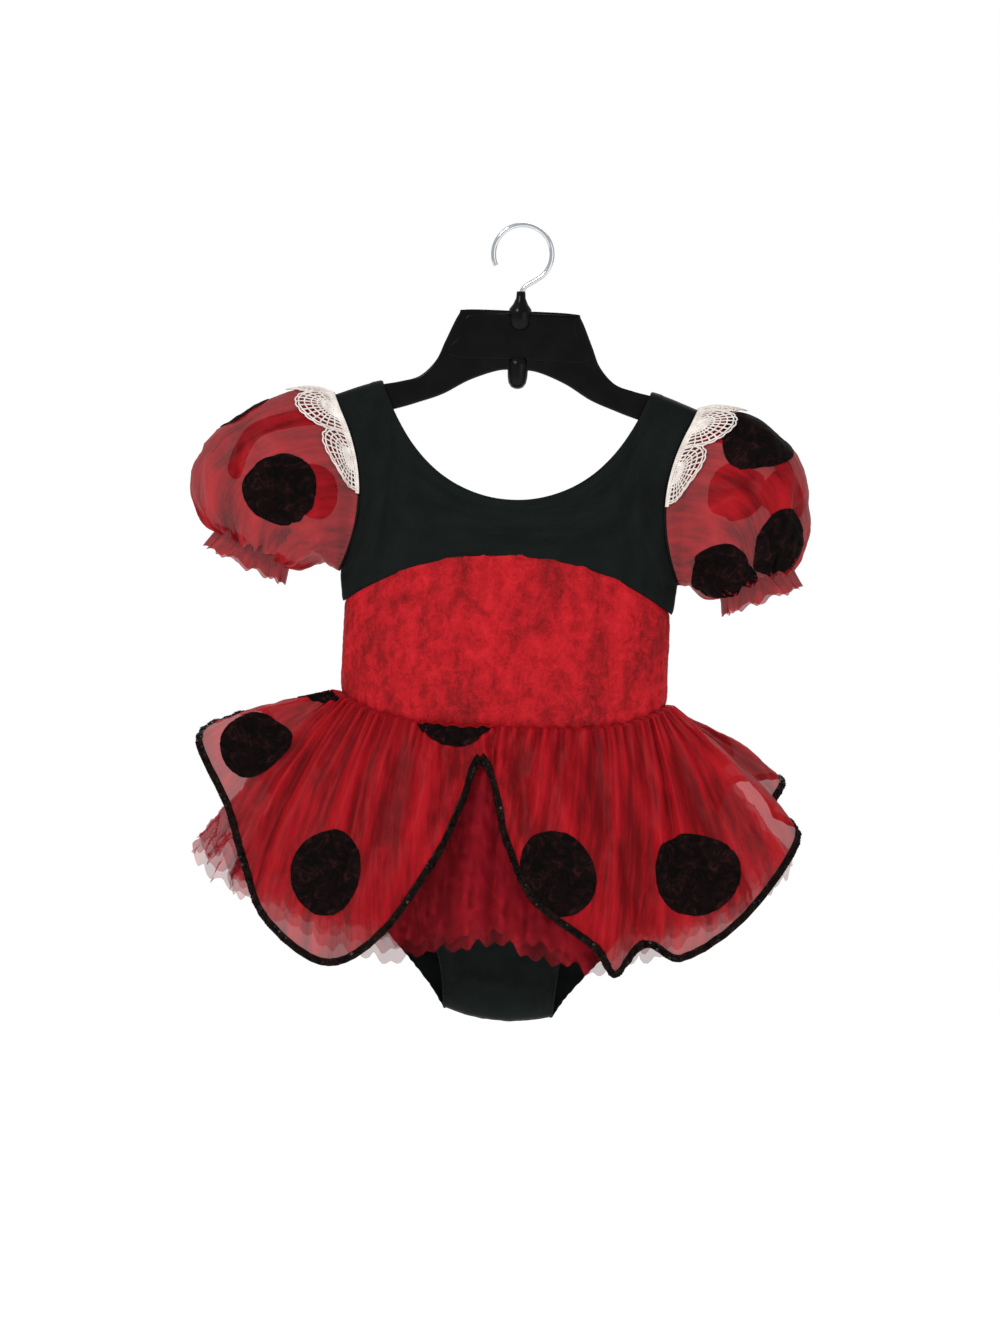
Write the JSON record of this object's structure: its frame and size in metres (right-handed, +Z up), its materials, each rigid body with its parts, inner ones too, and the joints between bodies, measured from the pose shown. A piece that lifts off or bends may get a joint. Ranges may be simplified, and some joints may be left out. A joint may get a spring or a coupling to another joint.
{
  "type": "child's ladybug dance costume on a clothes hanger",
  "caption": "Short-sleeved leotard with a velvet midriff, puffed sheer sleeves with lace, a spotted overskirt parted at the front and a net petticoat, hung on a hanger.",
  "frame": {"origin": "inside the top of the hanger's hook, where a rail bears", "axes": "+Z up, the garment's front faces -Y, +X to the right of someone facing the front"},
  "size_m": [0.4793, 0.2091, 0.5991],
  "materials": {
    "black_polystyrene": "moulded, satin to glossy",
    "chrome_wire": "bright plated wire",
    "black_stretch_jersey": "matt four-way stretch jersey",
    "red_crushed_velvet": "crushed stretch velvet",
    "red_organza": "sheer crisp organza with flocked black spots",
    "red_net": "crumpled sheer net",
    "white_cotton_lace": "crocheted cotton lace",
    "black_sequin_braid": "narrow sequinned braid"
  },
  "bodies": {
    "root": {"hanger": "black_polystyrene", "hook": "chrome_wire", "yoke_front": "black_stretch_jersey", "yoke_back": "black_stretch_jersey", "midriff_front": "red_crushed_velvet", "midriff_back": "red_crushed_velvet", "brief_front": "black_stretch_jersey", "brief_back": "black_stretch_jersey", "puff_left": "red_organza", "frill_left": "red_organza", "lace_left": "white_cotton_lace", "puff_right": "red_organza", "frill_right": "red_organza", "lace_right": "white_cotton_lace", "overskirt": "red_organza", "hem_trim": "black_sequin_braid", "petticoat_top": "red_net", "petticoat_under": "red_net"}
  },
  "joints": []
}
